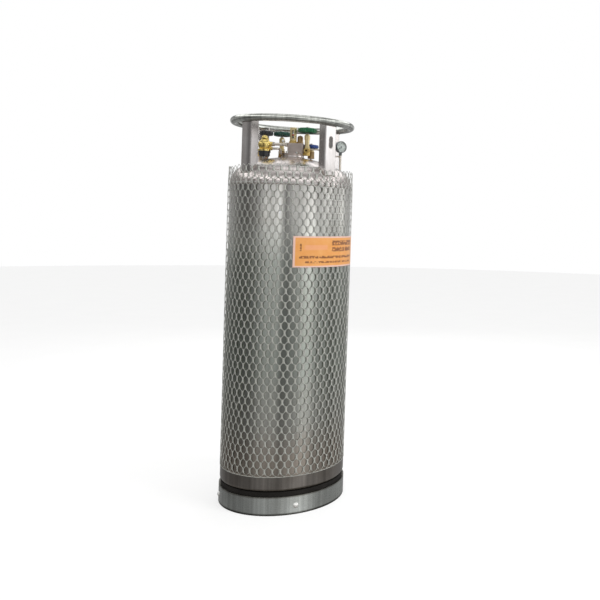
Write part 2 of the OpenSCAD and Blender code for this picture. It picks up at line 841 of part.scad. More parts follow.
module regulator_body() {
    color("#d9b24a") translate([reg_x, reg_y, 0]) difference() {
        union() {
            translate([0, 0, reg_z]) sphere(reg_r);
            translate([0, 0, bonnet_top_z]) cylinder(r = 25, h = 8);
            translate([0, 0, reg_z + 20]) cylinder(r = 15, h = 8, $fn = 6);
            translate([0, 0, reg_z + 20]) cylinder(r = 13, h = 8);
            translate([0, 0, reg_z + 28]) sphere(13);
            translate([0, 0, reg_pipe_z]) rotate([0, 90, 0]) cylinder(r = 9.5, h = reg_socket_l);
            translate([0, 0, reg_line_z]) rotate([0, 90, 0]) cylinder(r = 8, h = reg_socket_l);
        }
        translate([0, 0, bonnet_top_z - cut]) cylinder(r = 16, h = 10);
        translate([0, 0, reg_z]) cylinder(r = 7, h = 26);
        translate([0, 0, bonnet_top_z]) cylinder(r = 5, h = 40);
        for (z = [reg_pipe_z, reg_line_z]) translate([0, 0, z]) rotate([0, 90, 0])
            cylinder(r = line_bore_r, h = reg_socket_l + cut);
    }
}

module regulator_bonnet() {
    h = bonnet_top_z - bonnet_bottom_z;
    color("#17181c") translate([reg_x, reg_y, bonnet_bottom_z]) difference() {
        union() {
            cylinder(r = 19, h = h);
            translate([0, 0, 4]) cylinder(r = 22.5, h = h - 4);
            translate([0, 0, h - 6]) cylinder(r = 25, h = 6);
        }
        translate([0, 0, 4]) cylinder(r = 12, h = h);
        translate([0, 0, -cut]) cylinder(r = 4 + run_gap, h = 8);
    }
}

module regulator_screw() {
    color("#8f8f8c") translate([reg_x, reg_y, bonnet_bottom_z]) {
        translate([0, 0, -6]) cylinder(r = 4, h = 18);
        translate([0, 0, -7]) cylinder(r = 7.5, h = 5, $fn = 6);
    }
}

// Safety devices

module safety_valve_body() {
    h = safety_top_z - block_z1;
    color("#8e6a52") translate([safety_x, safety_y, block_z1]) difference() {
        union() {
            cylinder(r = 13, h = 9, $fn = 6);
            cylinder(r = 11.5, h = h - 4);
            cylinder(r = 9, h = h);
        }
        translate([0, 0, -cut]) cylinder(r = port_r, h = 20);
        translate([0, 0, safety_seat_z - block_z1]) cylinder(r = 8, h = h - 13);
        cylinder(r = 2 + run_gap, h = h + cut);
        for (i = [0 : 3]) rotate(45 + 90 * i) translate([0, 0, h - 12]) rotate([0, 90, 0])
            cylinder(r = 2.5, h = 20);
    }
}

module safety_valve_poppet() {
    color("#d5d5d2") translate([safety_x, safety_y, safety_seat_z + gap]) {
        cylinder(r = 7, h = 4);
        cylinder(r = 2, h = safety_top_z - safety_seat_z + 3);
    }
}

module safety_valve_spring() {
    wire = 0.8;
    low = safety_seat_z + 4 + 2 * gap + wire;
    high = safety_top_z - 3 - gap - wire;
    color("#a5a5a2") translate([safety_x, safety_y, low]) wire_spring(4.6, wire, high - low, 4);
}

module burst_disc() {
    color("#e3e3e0") translate([disc_x, reg_y, reg_pipe_z + 11 + gap]) {
        cylinder(r = 8, h = 5, $fn = 6);
        translate([0, 0, 5]) intersection() {
            sphere(6);
            cylinder(r = 6, h = 6);
        }
    }
}

// Pressure gauge

module at_gauge() {
    translate([gauge_x, gauge_y, gauge_z]) rotate([90, 0, gauge_az]) children();
}

module gauge_case() {
    color("#3c4144") at_gauge() difference() {
        union() {
            translate([0, 0, -gauge_depth / 2]) cylinder(r = gauge_r, h = gauge_depth);
            translate([0, -gauge_r - 12, 0]) rotate([-90, 0, 0]) cylinder(r = 6.5, h = 20);
        }
        translate([0, 0, 2 - gauge_depth / 2]) cylinder(r = gauge_r - 2, h = gauge_depth);
    }
}

module gauge_dial() {
    color("#e9eae8") at_gauge() translate([0, 0, 4]) difference() {
        translate([0, 0, -1.2]) cylinder(r = gauge_r - 2 - gap, h = 1.2);
        translate([0, 0, -5]) cylinder(r = 1.5 + run_gap, h = 6);
    }
}

module gauge_needle() {
    color("#1a1a1a") at_gauge() {
        translate([0, 0, -3]) cylinder(r = 1.5, h = 8.4);
        translate([0, 0, 4.4]) {
            cylinder(r = 3, h = 1);
            rotate(225) translate([-5, -0.8, 0]) cube([20, 1.6, 0.8]);
        }
    }
}

module gauge_lens() {
    color("#eef4f5") at_gauge() translate([0, 0, 6.4]) cylinder(r = gauge_r - 2 - gap, h = 2);
}

// Lines on the deck

module pipework() {
    reg_pipe_x0 = reg_x + reg_socket_l + gap;
    reg_pipe_x1 = block_x0 - gap;
    spud_y = building_valve[1] - body_r - 10 - gap;
    line_y = spud_y - 16;
    outlet_z = building_valve[2] + outlet_h;
    gauge_foot_z = seam_z + dish(norm([gauge_x, gauge_y]), barrel_r) - 3;
    gauge_socket_z = gauge_z - gauge_r - 12 - gap;
    color("#d8cfc0") {
        // Regulator outlet to the manifold, with its nuts and the burst disc's stub
        difference() {
            union() {
                translate([reg_pipe_x0, reg_y, reg_pipe_z]) rotate([0, 90, 0])
                    cylinder(r = reg_pipe_r, h = reg_pipe_x1 - reg_pipe_x0);
                for (x = [reg_pipe_x0, reg_pipe_x1 - 9]) translate([x, reg_y, reg_pipe_z])
                    rotate([0, 90, 0]) cylinder(r = 9, h = 9, $fn = 6);
                translate([disc_x, reg_y, reg_pipe_z]) cylinder(r = 5, h = 11);
            }
            translate([reg_pipe_x0 - cut, reg_y, reg_pipe_z]) rotate([0, 90, 0])
                cylinder(r = 4.5, h = reg_pipe_x1 - reg_pipe_x0 + 2 * cut);
            translate([disc_x, reg_y, reg_pipe_z]) cylinder(r = 3, h = 12);
        }
        // Building valve to the regulator inlet
        bent_tube([[building_valve[0], spud_y, outlet_z], [building_valve[0], line_y, outlet_z],
                   [building_valve[0], line_y - 14, reg_line_z], [building_valve[0], reg_y, reg_line_z],
                   [reg_pipe_x0, reg_y, reg_line_z]], 8, line_r, line_bore_r);
        // Manifold to the pressure gauge
        bent_tube([[block_x1 + gap, safety_y - 4, gauge_line_z],
                   [block_x1 + 60, safety_y - 4, gauge_line_z],
                   [gauge_x - 40, gauge_y, gauge_line_z - 25],
                   [gauge_x - 5 - gap, gauge_y, gauge_line_z - 25]], 16, 3.5, 2.5);
        // Stem that carries the pressure gauge
        difference() {
            translate([gauge_x, gauge_y, gauge_foot_z])
                cylinder(r = 5, h = gauge_socket_z - gauge_foot_z);
            top_form();
        }
    }
}

module vacuum_port() {
    port_y = 150;
    port_z = seam_z + dish(port_y, barrel_r);
    color("#bdbdb8") difference() {
        translate([0, port_y, port_z - 12]) {
            cylinder(r = 16, h = 22);
            translate([0, 0, 22]) cylinder(r = 20, h = 6);
            translate([0, 0, 28]) cylinder(r = 6, h = 3);
        }
        top_form();
    }
}

foot_ring();
rubber_ring();
rubber_bushes();
foot_bolts();
foot_nuts();
inner_skirt();
base_band();
bottom_head();
outer_barrel();
top_head();
net_sleeve();
info_label();
guard_ring();
guard_posts();
inner_vessel();
insulation_wrap();
neck_tube();
support_peg();
pressure_coil();
vaporiser_coil();
liquid_dip_tube();
neck_collar();
manifold_block();
manifold_bolts();
gauge_base();
sight_tube();
sight_guard();
level_float();
level_spring();
level_marker();
vent_valve_body();
vent_valve_plug();
vent_valve_stem();
vent_valve_wheel();
liquid_valve_body();
liquid_valve_plug();
liquid_valve_stem();
liquid_valve_wheel();
gas_valve_body();
gas_valve_plug();
gas_valve_stem();
gas_valve_wheel();
building_valve_body();
building_valve_plug();
building_valve_stem();
building_valve_wheel();
valve_bonnets();
regulator_body();
regulator_bonnet();
regulator_screw();
safety_valve_body();
safety_valve_poppet();
safety_valve_spring();
burst_disc();
gauge_case();
gauge_dial();
gauge_needle();
gauge_lens();
pipework();
vacuum_port();
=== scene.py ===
import math

import bmesh
import bpy
from mathutils import Matrix, Vector, noise


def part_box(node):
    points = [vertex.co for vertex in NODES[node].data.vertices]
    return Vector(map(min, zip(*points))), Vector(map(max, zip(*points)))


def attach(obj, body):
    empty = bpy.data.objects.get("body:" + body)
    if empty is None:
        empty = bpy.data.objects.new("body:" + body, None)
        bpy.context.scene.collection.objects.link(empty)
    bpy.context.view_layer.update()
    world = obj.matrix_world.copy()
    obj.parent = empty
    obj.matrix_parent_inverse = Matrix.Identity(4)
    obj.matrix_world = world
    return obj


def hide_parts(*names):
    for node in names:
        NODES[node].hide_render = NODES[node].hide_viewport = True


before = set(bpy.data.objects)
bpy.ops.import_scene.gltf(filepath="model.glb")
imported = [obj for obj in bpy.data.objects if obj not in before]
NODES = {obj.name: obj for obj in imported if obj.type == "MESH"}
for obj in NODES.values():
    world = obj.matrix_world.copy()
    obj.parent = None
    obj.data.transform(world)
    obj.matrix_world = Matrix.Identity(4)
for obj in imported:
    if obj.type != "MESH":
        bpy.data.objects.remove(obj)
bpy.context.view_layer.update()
scene = bpy.context.scene
TAU = 2 * math.pi
BODY = "vessel"


# ---------------------------------------------------------------- node helpers

class Tree:
    """Small wrapper that adds and links shader nodes."""

    def __init__(self, tree):
        self.t = tree
        tree.nodes.clear()

    def add(self, kind, **values):
        n = self.t.nodes.new("ShaderNode" + kind)
        for key, value in values.items():
            if key.startswith("i_"):
                self.put(n, key[2:].replace("_", " "), value)
            else:
                setattr(n, key, value)
        return n

    def put(self, n, socket, value):
        """Link a socket to an input, or set the input's value."""
        s = n.inputs[int(socket) if socket.isdigit() else socket]
        if isinstance(value, bpy.types.NodeSocket):
            self.t.links.new(value, s)
        else:
            if s.type == "RGBA" and len(value) == 3:
                value = (*value, 1)
            s.default_value = value

    def math(self, op, a, b=None, c=None, clamp=False):
        """Result of one arithmetic node."""
        n = self.add("Math", operation=op, use_clamp=clamp)
        for i, v in enumerate((a, b, c)):
            if v is not None:
                self.put(n, str(i), v)
        return n.outputs[0]

    def ramp(self, fac, stops):
        """Value or colour read from stops, each a position from 0 to 1 and what it gives."""
        n = self.add("ValToRGB")
        e = n.color_ramp.elements
        while len(e) < len(stops):
            e.new(1)
        for el, (pos, col) in zip(e, stops):
            el.position = pos
            el.color = (*col, 1) if isinstance(col, tuple) else (col, col, col, 1)
        self.put(n, "Fac", fac)
        return n.outputs["Color"]

    def mix(self, fac, a, b, blend="MIX"):
        """Two colours mixed or multiplied."""
        n = self.add("Mix", data_type="RGBA", blend_type=blend)
        self.put(n, "0", fac)
        self.put(n, "6", a)
        self.put(n, "7", b)
        return n.outputs[2]

    def noise(self, vector, scale, detail=4.0, rough=0.55, distort=0.0):
        """Noise from about 0.3 to 0.7."""
        n = self.add("TexNoise", i_Scale=scale, i_Detail=detail, i_Roughness=rough,
                     i_Distortion=distort)
        self.put(n, "Vector", vector)
        return n.outputs["Fac"]

    def mapped(self, vector, scale):
        return self.add("Mapping", i_Vector=vector, i_Scale=scale).outputs["Vector"]


def new_material(name):
    m = bpy.data.materials.new(name)
    m.use_nodes = True
    return m, Tree(m.node_tree)


def polar_coords(t):
    """Azimuth round the dewar (0 at -Y, rising towards +X), height and object coordinates."""
    co = t.add("TexCoord").outputs["Object"]
    sep = t.add("SeparateXYZ", i_Vector=co)
    x, y, z = sep.outputs
    az = t.math("ARCTAN2", x, t.math("MULTIPLY", y, -1.0))
    return az, z, co


# How far a streak wanders over a metre of height, and limits shared by all finishes
STREAK_DRIFT = 0.35
WEAR_AMOUNT = 0.85
BUMP_DEPTH = 0.0006
SMOOTHEST = 0.03
COAT_ROUGHNESS = 0.12


def by_height(t, z, levels):
    """Value or colour read from a list of heights above the floor."""
    top = levels[-1][0]
    return t.ramp(t.math("DIVIDE", z, top), [(h / top, value) for h, value in levels])


def finish(name, base, rough=0.4, metal=0.0, second=None, vary=0.5, scale=60.0, stretch=(1, 1, 1),
           bump=0.15, bump_scale=500.0, wear=None, wear_r=0.0, dirt=None, dirt_amount=0.0,
           dirt_scale=9.0, coat=0.0, transmission=0.0, ior=1.5, spec=0.5,
           around=False, rough_vary=0.16, streaks=None, painted_shading_by_height=None,
           sides=None, painted_shading_from=None, see_through=None):
    """Procedural surface: mottled colour, painted shade, uneven roughness, fine bump, worn edges
    and dirt.

    base and second are mixed by a grain of the given scale and stretch, as far as vary says.
    streaks holds the cycles round the dewar and the darkest and lightest factor.
    painted_shading_by_height holds colour factors by height and sides holds factors by azimuth
    in degrees; both paint light, shade and reflections into the colour. see_through holds by
    height the share that lets what is behind show.
    """
    m, t = new_material(name)
    co = t.add("TexCoord").outputs["Object"]
    if around:
        az, z, _ = polar_coords(t)
        vec = t.add("CombineXYZ")
        t.put(vec, "X", az)
        t.put(vec, "Z", z)
        co_m = t.mapped(vec.outputs[0], stretch)
    else:
        co_m = t.mapped(co, stretch)
    second = second or tuple(c * 0.78 for c in base)
    grain = t.noise(co_m, scale, 6.0, 0.6)
    colour = t.mix(t.math("MULTIPLY", t.ramp(grain, [(0.3, 0.0), (0.7, 1.0)]), vary), base, second)
    if dirt:
        patch = t.noise(co, dirt_scale, 5.0, 0.65, 0.6)
        colour = t.mix(t.math("MULTIPLY", t.ramp(patch, [(0.42, 0.0), (0.68, 1.0)]), dirt_amount),
                       colour, dirt)
    if streaks or painted_shading_by_height or sides or see_through:
        az, z, _ = polar_coords(t)
    if streaks:
        cycles, darkest, lightest = streaks
        line = t.add("CombineXYZ")
        t.put(line, "X", t.math("MULTIPLY", az, cycles))
        t.put(line, "Y", t.math("MULTIPLY", z, STREAK_DRIFT))
        tone = t.math("MULTIPLY_ADD", t.ramp(t.noise(line.outputs[0], 1.0, 3.0, 0.6),
                                             [(0.32, 0.0), (0.66, 1.0)]),
                      lightest - darkest, darkest)
        colour = t.mix(1.0, colour, tone, "MULTIPLY")
    # Painted light and shade: the colour is darkened or brightened by height
    if painted_shading_by_height:
        colour = t.mix(1.0, colour, by_height(t, z, painted_shading_by_height), "MULTIPLY")
    if sides:
        # Painted light, shade and reflections by azimuth, which may fade in between two heights
        turn = t.math("MULTIPLY_ADD", az, 1 / TAU, 0.5)
        shade = t.ramp(turn, [((a + 180) / 360, v) for a, v in sides])
        amount = 1.0
        if painted_shading_from:
            step = t.add("MapRange", interpolation_type="SMOOTHSTEP")
            for socket, value in (("Value", z), ("From Min", painted_shading_from[0]),
                                  ("From Max", painted_shading_from[1])):
                t.put(step, socket, value)
            amount = step.outputs[0]
        colour = t.mix(amount, colour, shade, "MULTIPLY")
    fine = t.noise(co_m, bump_scale, 3.0, 0.6)
    normal = None
    if wear_r:
        bevel = t.add("Bevel", samples=4, i_Radius=wear_r)
        normal = bevel.outputs[0]
        if wear:
            geo = t.add("NewGeometry")
            dot = t.add("VectorMath", operation="DOT_PRODUCT")
            t.put(dot, "0", normal)
            t.put(dot, "1", geo.outputs["Normal"])
            edge = t.ramp(dot.outputs["Value"], [(0.80, 1.0), (0.985, 0.0)])
            chips = t.ramp(t.noise(co, 160.0, 5.0, 0.7), [(0.45, 0.0), (0.62, 1.0)])
            edge = t.math("MULTIPLY", t.math("MULTIPLY", edge, chips), WEAR_AMOUNT)
            colour = t.mix(edge, colour, wear)
    bump_node = t.add("Bump", i_Strength=bump, i_Distance=BUMP_DEPTH)
    t.put(bump_node, "Height", fine)
    if normal:
        t.put(bump_node, "Normal", normal)
    lo, hi = max(SMOOTHEST, rough - rough_vary / 2), rough + rough_vary / 2
    r = t.math("MULTIPLY_ADD", t.noise(co_m, scale * 0.7, 4.0), hi - lo, lo)
    p = t.add("BsdfPrincipled", i_Metallic=metal, i_IOR=ior)
    p.inputs["Specular IOR Level"].default_value = spec
    p.inputs["Coat Weight"].default_value = coat
    p.inputs["Coat Roughness"].default_value = COAT_ROUGHNESS
    p.inputs["Transmission Weight"].default_value = transmission
    t.put(p, "Base Color", colour)
    t.put(p, "Roughness", r)
    t.put(p, "Normal", bump_node.outputs[0])
    surface = p.outputs[0]
    if see_through:
        clear_part = t.add("BsdfTransparent")
        blend = t.add("MixShader")
        t.put(blend, "0", by_height(t, z, see_through))
        t.put(blend, "1", surface)
        t.put(blend, "2", clear_part.outputs[0])
        surface = blend.outputs[0]
    out = t.add("OutputMaterial")
    t.put(out, "Surface", surface)
    return m


# ---------------------------------------------------------------- materials

# Painted shade and reflections on the barrel: browner and darker low down, brighter just under the
# seam, and light and dark strips of reflected room by azimuth that fade in from 1.04 to 1.20 m
steel_barrel = finish("steel_barrel", (0.92, 0.92, 0.89), 0.19, 1.0, (0.84, 0.84, 0.82),
                      around=True, stretch=(2.0, 1, 60), scale=9.0, bump=0.02, bump_scale=60.0,
                      dirt=(0.72, 0.68, 0.62), dirt_amount=0.3, rough_vary=0.06,
                      streaks=(11, 0.8, 1.12),
                      painted_shading_by_height=[(0.0, (0.50, 0.44, 0.39)), (0.22, (0.53, 0.47, 0.42)),
                             (0.36, (0.58, 0.58, 0.55)), (0.60, (0.56, 0.60, 0.56)),
                             (1.0, (0.62, 0.655, 0.62)), (1.20, (1.12, 1.11, 1.09)),
                             (1.4, (1.0, 0.98, 0.98))],
                      sides=[(-180, 0.7), (-60, 0.62), (-39, 0.50), (-27, 0.62), (-20, 0.76),
                             (-16.8, 1.0), (-13, 0.76), (-11.4, 0.72), (-7, 0.84), (-3.9, 1.0),
                             (-1, 0.84), (1.4, 0.50), (4, 0.84), (8, 1.0), (12, 0.80), (18, 0.54),
                             (24, 0.56), (29, 0.58), (33, 0.66), (45, 0.74), (57, 0.74),
                             (61.5, 1.0), (66, 0.7), (90, 0.62), (180, 0.7)],
                      painted_shading_from=(1.04, 1.20))
steel_head = finish("steel_head", (0.86, 0.80, 0.78), 0.26, 1.0, (0.72, 0.66, 0.64),
                    scale=26.0, bump=0.03, bump_scale=120.0, streaks=(20, 0.74, 1.14),
                    dirt=(0.55, 0.50, 0.47), dirt_amount=0.4)
steel_band = finish("steel_band", (0.32, 0.295, 0.27), 0.22, 1.0, (0.26, 0.235, 0.21),
                    around=True, stretch=(2.0, 1, 40), scale=12.0, bump=0.04, bump_scale=80.0,
                    dirt=(0.22, 0.19, 0.16), dirt_amount=0.5, streaks=(13, 0.7, 1.2),
                    rough_vary=0.08)
# Painted shade on the foot: dark lines along its bottom and top edges, and lighter between 0 and 30
# degrees of azimuth where the light falls, darker beyond
steel_foot = finish("steel_foot", (0.74, 0.77, 0.74), 0.28, 1.0, (0.62, 0.64, 0.61),
                    around=True, stretch=(1.0, 1, 60), scale=14.0, bump=0.06, bump_scale=90.0,
                    dirt=(0.48, 0.49, 0.45), dirt_amount=0.5, wear_r=0.0012,
                    wear=(0.30, 0.29, 0.26), streaks=(15, 0.75, 1.15),
                    painted_shading_by_height=[(0.0, (0.10, 0.10, 0.09)), (0.005, (0.22, 0.21, 0.20)),
                           (0.010, (1.0, 1.0, 1.0)), (0.066, (1.0, 1.0, 1.0)),
                           (0.07, (0.6, 0.58, 0.56)), (0.073, (0.35, 0.33, 0.3))],
                    sides=[(-180, 0.9), (-60, 0.8), (-25, 0.86), (0, 1.0), (14, 1.15), (28, 1.15),
                           (36, 0.8), (60, 0.72), (120, 0.9), (180, 0.9)])
steel_ring = finish("steel_ring", (0.68, 0.70, 0.66), 0.10, 1.0, (0.56, 0.57, 0.53),
                    around=True, stretch=(1, 1, 12), scale=30.0, bump=0.05, bump_scale=160.0,
                    dirt=(0.40, 0.40, 0.36), dirt_amount=0.35, rough_vary=0.06,
                    streaks=(16, 0.7, 1.2))
# Painted shade on the posts: darker between -41 and -30 degrees of azimuth, on the front left
# post's face turned from the key light
steel_post = finish("steel_post", (0.72, 0.69, 0.68), 0.24, 1.0, (0.60, 0.57, 0.56),
                    stretch=(1, 1, 0.12), scale=90.0, bump=0.08, bump_scale=420.0,
                    wear_r=0.0018, wear=(0.85, 0.84, 0.82), dirt=(0.46, 0.41, 0.38),
                    dirt_amount=0.45, rough_vary=0.1,
                    sides=[(-180, 1.0), (-60, 1.0), (-45, 1.0), (-41, 0.55), (-30, 0.5),
                           (-20, 0.9), (180, 1.0)])
steel_clean = finish("steel_clean", (0.74, 0.74, 0.72), 0.26, 1.0, (0.62, 0.62, 0.60), scale=90.0,
                     bump=0.08, wear_r=0.0008)
# Painted highlight: a brighter, less metallic copy of the clean steel that makes the foot bolt
# heads look lit
bolt_highlight_steel = finish("bolt_highlight_steel", (0.90, 0.90, 0.88), 0.3, 0.55, (0.78, 0.78, 0.76), scale=90.0,
                    bump=0.06, wear_r=0.0006)
steel_inner = finish("steel_inner", (0.66, 0.66, 0.64), 0.3, 1.0, scale=30.0, bump=0.08)
steel_block = finish("steel_block", (0.62, 0.54, 0.50), 0.36, 1.0, (0.50, 0.42, 0.38), scale=70.0,
                     bump=0.15, wear_r=0.0012, wear=(0.86, 0.80, 0.76), dirt=(0.30, 0.24, 0.20),
                     dirt_amount=0.5, dirt_scale=30.0)
rubber = finish("rubber", (0.010, 0.009, 0.008), 0.68, 0.0, (0.018, 0.017, 0.015), scale=80.0,
                bump=0.3, bump_scale=900.0, dirt=(0.05, 0.045, 0.04), dirt_amount=0.2, spec=0.2)
brass = finish("brass", (0.83, 0.60, 0.20), 0.28, 1.0, (0.66, 0.45, 0.14), scale=90.0, bump=0.12,
               wear_r=0.0008, wear=(0.95, 0.80, 0.45), dirt=(0.35, 0.24, 0.10), dirt_amount=0.4,
               dirt_scale=35.0)
brass_bright = finish("brass_bright", (0.92, 0.73, 0.27), 0.22, 1.0, (0.82, 0.63, 0.20),
                      scale=70.0, bump=0.08, wear_r=0.0008, dirt=(0.55, 0.38, 0.10),
                      dirt_amount=0.3, dirt_scale=40.0)
bronze = finish("bronze", (0.47, 0.33, 0.17), 0.38, 1.0, (0.34, 0.23, 0.12), scale=110.0, bump=0.25,
                wear_r=0.0008, wear=(0.80, 0.62, 0.34), dirt=(0.20, 0.15, 0.09), dirt_amount=0.5,
                dirt_scale=40.0)
cream = finish("cream_brass", (0.88, 0.74, 0.42), 0.3, 0.85, (0.76, 0.62, 0.34), scale=90.0,
               bump=0.1, wear_r=0.0008, dirt=(0.45, 0.34, 0.18), dirt_amount=0.35, dirt_scale=40.0)
pipe_steel = finish("pipe_steel", (0.82, 0.77, 0.70), 0.26, 1.0, (0.68, 0.62, 0.54), scale=120.0,
                    bump=0.1, dirt=(0.50, 0.40, 0.28), dirt_amount=0.35, dirt_scale=40.0)
copper = finish("copper", (0.72, 0.40, 0.24), 0.34, 1.0, scale=60.0, bump=0.1)
foil = finish("foil", (0.80, 0.82, 0.84), 0.22, 1.0, scale=45.0, bump=0.5, bump_scale=90.0)
composite = finish("composite", (0.50, 0.38, 0.15), 0.5, 0.0, scale=200.0, bump=0.3)
black_paint = finish("black_paint", (0.012, 0.013, 0.017), 0.3, 0.0, (0.03, 0.03, 0.035),
                     scale=120.0, bump=0.15, wear_r=0.0010, wear=(0.16, 0.16, 0.16), coat=0.3)
case_paint = finish("case_paint", (0.055, 0.065, 0.068), 0.3, 0.0, (0.09, 0.10, 0.10), scale=120.0,
                    bump=0.12, wear_r=0.0012, wear=(0.30, 0.30, 0.29), coat=0.3)


def wheel_paint(name, base):
    return finish(name, base, 0.34, 0.0, tuple(c * 0.7 for c in base), scale=140.0, bump=0.25,
                  bump_scale=700.0, wear_r=0.0014, wear=(0.55, 0.52, 0.46), coat=0.35,
                  dirt=tuple(c * 0.35 + 0.02 for c in base), dirt_amount=0.35, dirt_scale=60.0)


green_wheel = wheel_paint("green_wheel", (0.006, 0.125, 0.045))
blue_wheel = wheel_paint("blue_wheel", (0.008, 0.055, 0.27))
black_wheel = wheel_paint("black_wheel", (0.012, 0.013, 0.018))
teal_wheel = wheel_paint("teal_wheel", (0.010, 0.060, 0.045))
dial_white = finish("dial_white", (0.62, 0.64, 0.63), 0.5, 0.0, (0.55, 0.57, 0.56), scale=90.0,
                    bump=0.03)
dial_ink = finish("dial_ink", (0.03, 0.03, 0.035), 0.5, 0.0, scale=90.0, bump=0.03)
marker_red = finish("marker_red", (0.60, 0.06, 0.03), 0.4, 0.0, scale=120.0, bump=0.1)
clear = finish("clear_plastic", (0.95, 0.98, 0.97), 0.06, 0.0, (0.88, 0.92, 0.91), scale=60.0,
               bump=0.02, transmission=1.0, ior=1.3, rough_vary=0.04)
weld_steel = finish("weld_steel", (0.50, 0.46, 0.42), 0.34, 1.0, (0.30, 0.25, 0.22), scale=160.0,
                    bump=0.35, bump_scale=700.0, dirt=(0.20, 0.14, 0.10), dirt_amount=0.6,
                    dirt_scale=30.0)
# Painted washout: between 1.02 and 1.31 m the net lets more of the barrel show, where the strong
# light falls on it
net_plastic = finish("net_plastic", (0.51, 0.52, 0.485), 0.34, 0.0, (0.40, 0.41, 0.38), scale=30.0,
                     bump=0.1, bump_scale=400.0, coat=0.15,
                     see_through=[(0.0, 0.28), (1.02, 0.32), (1.12, 0.58), (1.24, 0.58),
                                  (1.31, 0.22), (1.40, 0.10)])


INK_AMOUNT = 0.86
# Blocks of print on the label: ends along it, then lower and upper edge
PRINT_ROWS = ((0.49, 0.95, 0.70, 0.87), (0.49, 0.93, 0.50, 0.65), (0.07, 0.94, 0.28, 0.37),
              (0.14, 0.90, 0.13, 0.20), (0.075, 0.10, 0.52, 0.76))


def label_material():
    """Printed card: pale rim, orange field, and brown dashes that stand for print.

    Places on the card run from 0 to 1, u along it and v up it.
    """
    m, t = new_material("label_card")
    low_corner, high_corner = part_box("info_label")
    z0, z1 = low_corner.z, high_corner.z
    corners = [v.co for v in NODES["info_label"].data.vertices]
    azimuths = [math.atan2(c.x, -c.y) for c in corners]
    a0, a1 = min(azimuths), max(azimuths)
    az, z, co = polar_coords(t)
    u = t.math("DIVIDE", t.math("SUBTRACT", az, a0), a1 - a0)
    v = t.math("DIVIDE", t.math("SUBTRACT", z, z0), z1 - z0)

    def band(value, low, high, soft=0.004):
        """1 between two places, with soft ends."""
        up = t.math("DIVIDE", t.math("SUBTRACT", value, low), soft, clamp=True)
        down = t.math("DIVIDE", t.math("SUBTRACT", high, value), soft, clamp=True)
        return t.math("MULTIPLY", up, down)

    inside = t.math("MULTIPLY", band(u, 0.022, 0.985), band(v, 0.045, 0.955))
    mottle = t.noise(co, 26.0, 5.0, 0.6)
    field = t.mix(t.ramp(mottle, [(0.35, 0.0), (0.7, 1.0)]), (0.72, 0.31, 0.075),
                  (0.76, 0.37, 0.12))
    pink = t.math("MULTIPLY", band(u, 0.12, 0.44, 0.03), band(v, 0.54, 0.74, 0.05))
    field = t.mix(t.math("MULTIPLY", pink, 0.4), field, (0.80, 0.38, 0.27))
    vec = t.add("CombineXYZ")
    t.put(vec, "X", u)
    t.put(vec, "Y", v)
    dash = t.ramp(t.noise(t.mapped(vec.outputs[0], (40, 15, 1)), 1.0, 1.0, 0.5),
                  [(0.42, 0.0), (0.45, 1.0)])
    rows = None
    for u0, u1, v0, v1 in PRINT_ROWS:
        row = t.math("MULTIPLY", band(u, u0, u1), band(v, v0, v1, 0.01))
        rows = row if rows is None else t.math("MAXIMUM", rows, row)
    ink = t.math("MULTIPLY", t.math("MULTIPLY", rows, dash), INK_AMOUNT)
    field = t.mix(ink, field, (0.16, 0.05, 0.015))
    colour = t.mix(inside, (0.74, 0.50, 0.43), field)
    bump = t.add("Bump", i_Strength=0.15, i_Distance=0.0005)
    t.put(bump, "Height", t.noise(co, 90.0, 4.0))
    p = t.add("BsdfPrincipled", i_Roughness=0.38)
    p.inputs["Coat Weight"].default_value = 0.25
    t.put(p, "Base Color", colour)
    t.put(p, "Normal", bump.outputs[0])
    out = t.add("OutputMaterial")
    t.put(out, "Surface", p.outputs[0])
    return m


FINISHES = {
    steel_barrel: ["outer_barrel"],
    steel_head: ["top_head", "neck_collar", "vacuum_port"],
    steel_band: ["base_band", "inner_skirt", "bottom_head"],
    steel_foot: ["foot_ring"],
    steel_ring: ["guard_ring"],
    steel_post: ["guard_posts"],
    bolt_highlight_steel: ["foot_bolts"],
    steel_clean: ["foot_nuts", "manifold_bolts", "burst_disc", "vent_valve_stem",
                  "liquid_valve_stem", "gas_valve_stem", "building_valve_stem",
                  "regulator_screw", "safety_valve_poppet", "safety_valve_spring", "level_spring",
                  "level_float"],
    steel_inner: ["inner_vessel", "neck_tube", "liquid_dip_tube"],
    steel_block: ["manifold_block"],
    rubber: ["rubber_ring", "rubber_bushes"],
    brass: ["vent_valve_body", "gas_valve_body", "gauge_base"],
    brass_bright: ["regulator_body"],
    bronze: ["liquid_valve_body", "building_valve_body", "safety_valve_body", "vent_valve_plug",
             "liquid_valve_plug", "gas_valve_plug", "building_valve_plug"],
    cream: ["valve_bonnets", "sight_guard"],
    pipe_steel: ["pipework"],
    copper: ["pressure_coil", "vaporiser_coil"],
    foil: ["insulation_wrap"],
    composite: ["support_peg"],
    black_paint: ["regulator_bonnet"],
    case_paint: ["gauge_case"],
    green_wheel: ["vent_valve_wheel"],
    blue_wheel: ["liquid_valve_wheel"],
    black_wheel: ["gas_valve_wheel"],
    teal_wheel: ["building_valve_wheel"],
    dial_white: ["gauge_dial"],
    dial_ink: ["gauge_needle"],
    marker_red: ["level_marker"],
    clear: ["sight_tube", "gauge_lens"],
    label_material(): ["info_label"],
}
for material, names in FINISHES.items():
    for name in names:
        slots = NODES[name].data.materials
        if not slots:
            slots.append(material)
        for i in range(len(slots)):
            slots[i] = material


# ---------------------------------------------------------------- mesh helpers

def add_piece(name, verts, faces, material, smooth=True):
    """New mesh object that rides the vessel."""
    mesh = bpy.data.meshes.new(name)
    mesh.from_pydata(verts, [], faces)
    mesh.validate()
    mesh.update()
    if smooth:
        for p in mesh.polygons:
            p.use_smooth = True
    mesh.materials.append(material)
    o = bpy.data.objects.new(name, mesh)
    scene.collection.objects.link(o)
    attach(o, BODY)
    return o


RIPPLE_SCALE = 220


